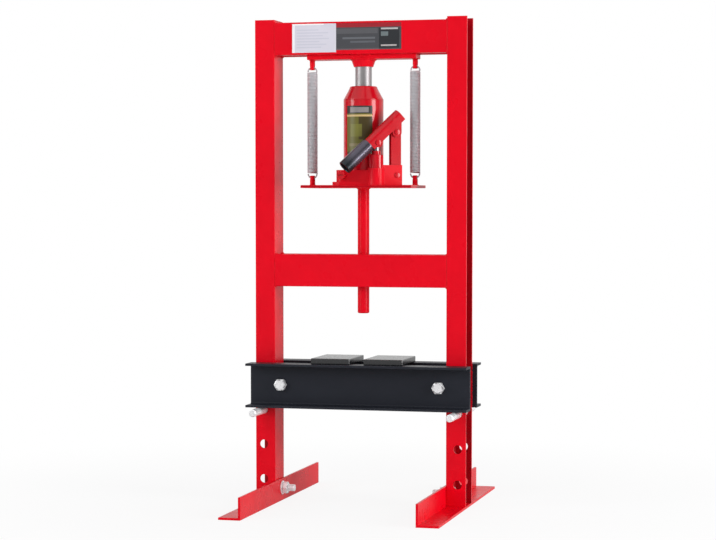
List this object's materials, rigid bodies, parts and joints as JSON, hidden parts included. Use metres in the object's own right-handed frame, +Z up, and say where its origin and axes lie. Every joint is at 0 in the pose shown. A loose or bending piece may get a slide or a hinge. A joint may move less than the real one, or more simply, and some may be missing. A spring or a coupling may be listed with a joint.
{
  "type": "h-frame hydraulic press",
  "caption": "Bench-height H-frame press: a sprung bottle jack drives a press rod down onto plates on a height-adjustable bed.",
  "frame": {"origin": "centre of the footprint, on the floor", "axes": "+Z up, -Y toward the front, where the labels and the pump lever are, +X to the right as seen from the front"},
  "size_m": [0.384, 0.48, 0.826],
  "materials": {
    "red_enamel": "gloss powder coat",
    "red_cast_enamel": "gloss paint on a rough casting",
    "red_jack_enamel": "gloss paint",
    "black_enamel": "satin powder coat",
    "black_plate": "satin paint",
    "zinc_plate": "bright zinc plate",
    "bright_steel": "ground",
    "spring_steel": "satin zinc plate",
    "chrome_ram": "hard chrome",
    "slate_sleeve": "satin",
    "seal_rubber": "matt",
    "pale_vinyl": "satin vinyl label",
    "charcoal_vinyl": "satin vinyl label",
    "olive_vinyl": "satin vinyl label"
  },
  "bodies": {
    "frame": {"left_post": "red_enamel", "right_post": "red_enamel", "top_beam_front": "red_enamel", "top_beam_rear": "red_enamel", "mid_beam_front": "red_enamel", "mid_beam_rear": "red_enamel", "rod_guide": "red_enamel", "spring_bar": "red_enamel", "ram_socket": "red_enamel", "upper_spring_studs": "red_enamel", "spring_left": "spring_steel", "spring_right": "spring_steel", "pale_label": "pale_vinyl", "dark_label": "charcoal_vinyl", "left_foot": "red_enamel", "right_foot": "red_enamel", "foot_bolts": "zinc_plate", "foot_washers": "zinc_plate", "foot_nuts": "zinc_plate"},
    "carriage": {"jack_base_plate": "red_enamel", "press_rod": "red_enamel", "lower_spring_studs": "red_enamel", "jack_base": "red_cast_enamel", "pressure_cylinder": "bright_steel", "reservoir": "red_jack_enamel", "top_nut": "red_jack_enamel", "wiper_seal": "seal_rubber", "jack_label": "olive_vinyl", "oil_plug": "seal_rubber", "check_balls": "bright_steel", "valve_ball": "bright_steel", "pump_cylinder": "red_jack_enamel", "pump_gland": "red_jack_enamel", "plunger_seal": "seal_rubber", "link_pin": "red_jack_enamel"},
    "ram": {"ram": "chrome_ram", "piston_seal": "seal_rubber"},
    "pump_link": {"pump_link": "red_jack_enamel", "lever_pin": "red_jack_enamel"},
    "pump_lever": {"lever_yoke": "red_jack_enamel", "handle_sleeve": "slate_sleeve"},
    "pump_plunger": {"pump_plunger": "bright_steel", "plunger_pin": "red_jack_enamel"},
    "release_valve": {"release_valve": "red_jack_enamel"},
    "bed": {"bed_channel_front": "black_enamel", "bed_channel_rear": "black_enamel", "bed_spacers": "black_enamel", "bed_bolts": "zinc_plate", "bed_nuts": "zinc_plate", "press_plate_left": "black_plate", "press_plate_right": "black_plate"},
    "bed_pin_left": {"bed_pin_left": "zinc_plate"},
    "bed_pin_right": {"bed_pin_right": "zinc_plate"}
  },
  "joints": [
    {"name": "press_stroke", "type": "slide", "parent": "frame", "child": "carriage", "axis": [0, 0, -1], "range_m": [0, 0.1], "stiffness_N_per_m": 1600, "springref_m": -0.0506, "deforming": ["spring_left", "spring_right"]},
    {"name": "ram_extension", "type": "slide", "parent": "carriage", "child": "ram", "axis": [0, 0, 1], "range_m": [0, 0.1]},
    {"name": "link_rock", "type": "hinge", "parent": "carriage", "child": "pump_link", "pos_m": [0.0602, -0.0217, 0.562], "axis": [-0.5736, 0.8192, 0], "range_deg": [0, 4.2]},
    {"name": "pump_swing", "type": "hinge", "parent": "pump_link", "child": "pump_lever", "pos_m": [0.0602, -0.0217, 0.634], "axis": [-0.5736, 0.8192, 0], "range_deg": [0, 26]},
    {"name": "plunger_stroke", "type": "slide", "parent": "carriage", "child": "pump_plunger", "axis": [0, 0, 1], "range_m": [0, 0.0192]},
    {"name": "release_turn", "type": "hinge", "parent": "carriage", "child": "release_valve", "pos_m": [-0.0265, -0.047, 0.562], "axis": [0, -1, 0], "range_deg": [0, 360]},
    {"name": "bed_lift", "type": "slide", "parent": "frame", "child": "bed", "axis": [0, 0, 1], "range_m": [0, 0.06]},
    {"name": "left_pin_pull", "type": "slide", "parent": "frame", "child": "bed_pin_left", "axis": [0, -1, 0], "range_m": [0, 0.16]},
    {"name": "right_pin_pull", "type": "slide", "parent": "frame", "child": "bed_pin_right", "axis": [0, -1, 0], "range_m": [0, 0.16]}
  ],
  "couplings": [
    {"joint": "ram_extension", "follows": "press_stroke", "ratio": 1},
    {"joint": "link_rock", "follows": "pump_swing", "ratio": 0.15817},
    {"joint": "plunger_stroke", "follows": "pump_swing", "m_per_rad": 0.042006}
  ]
}
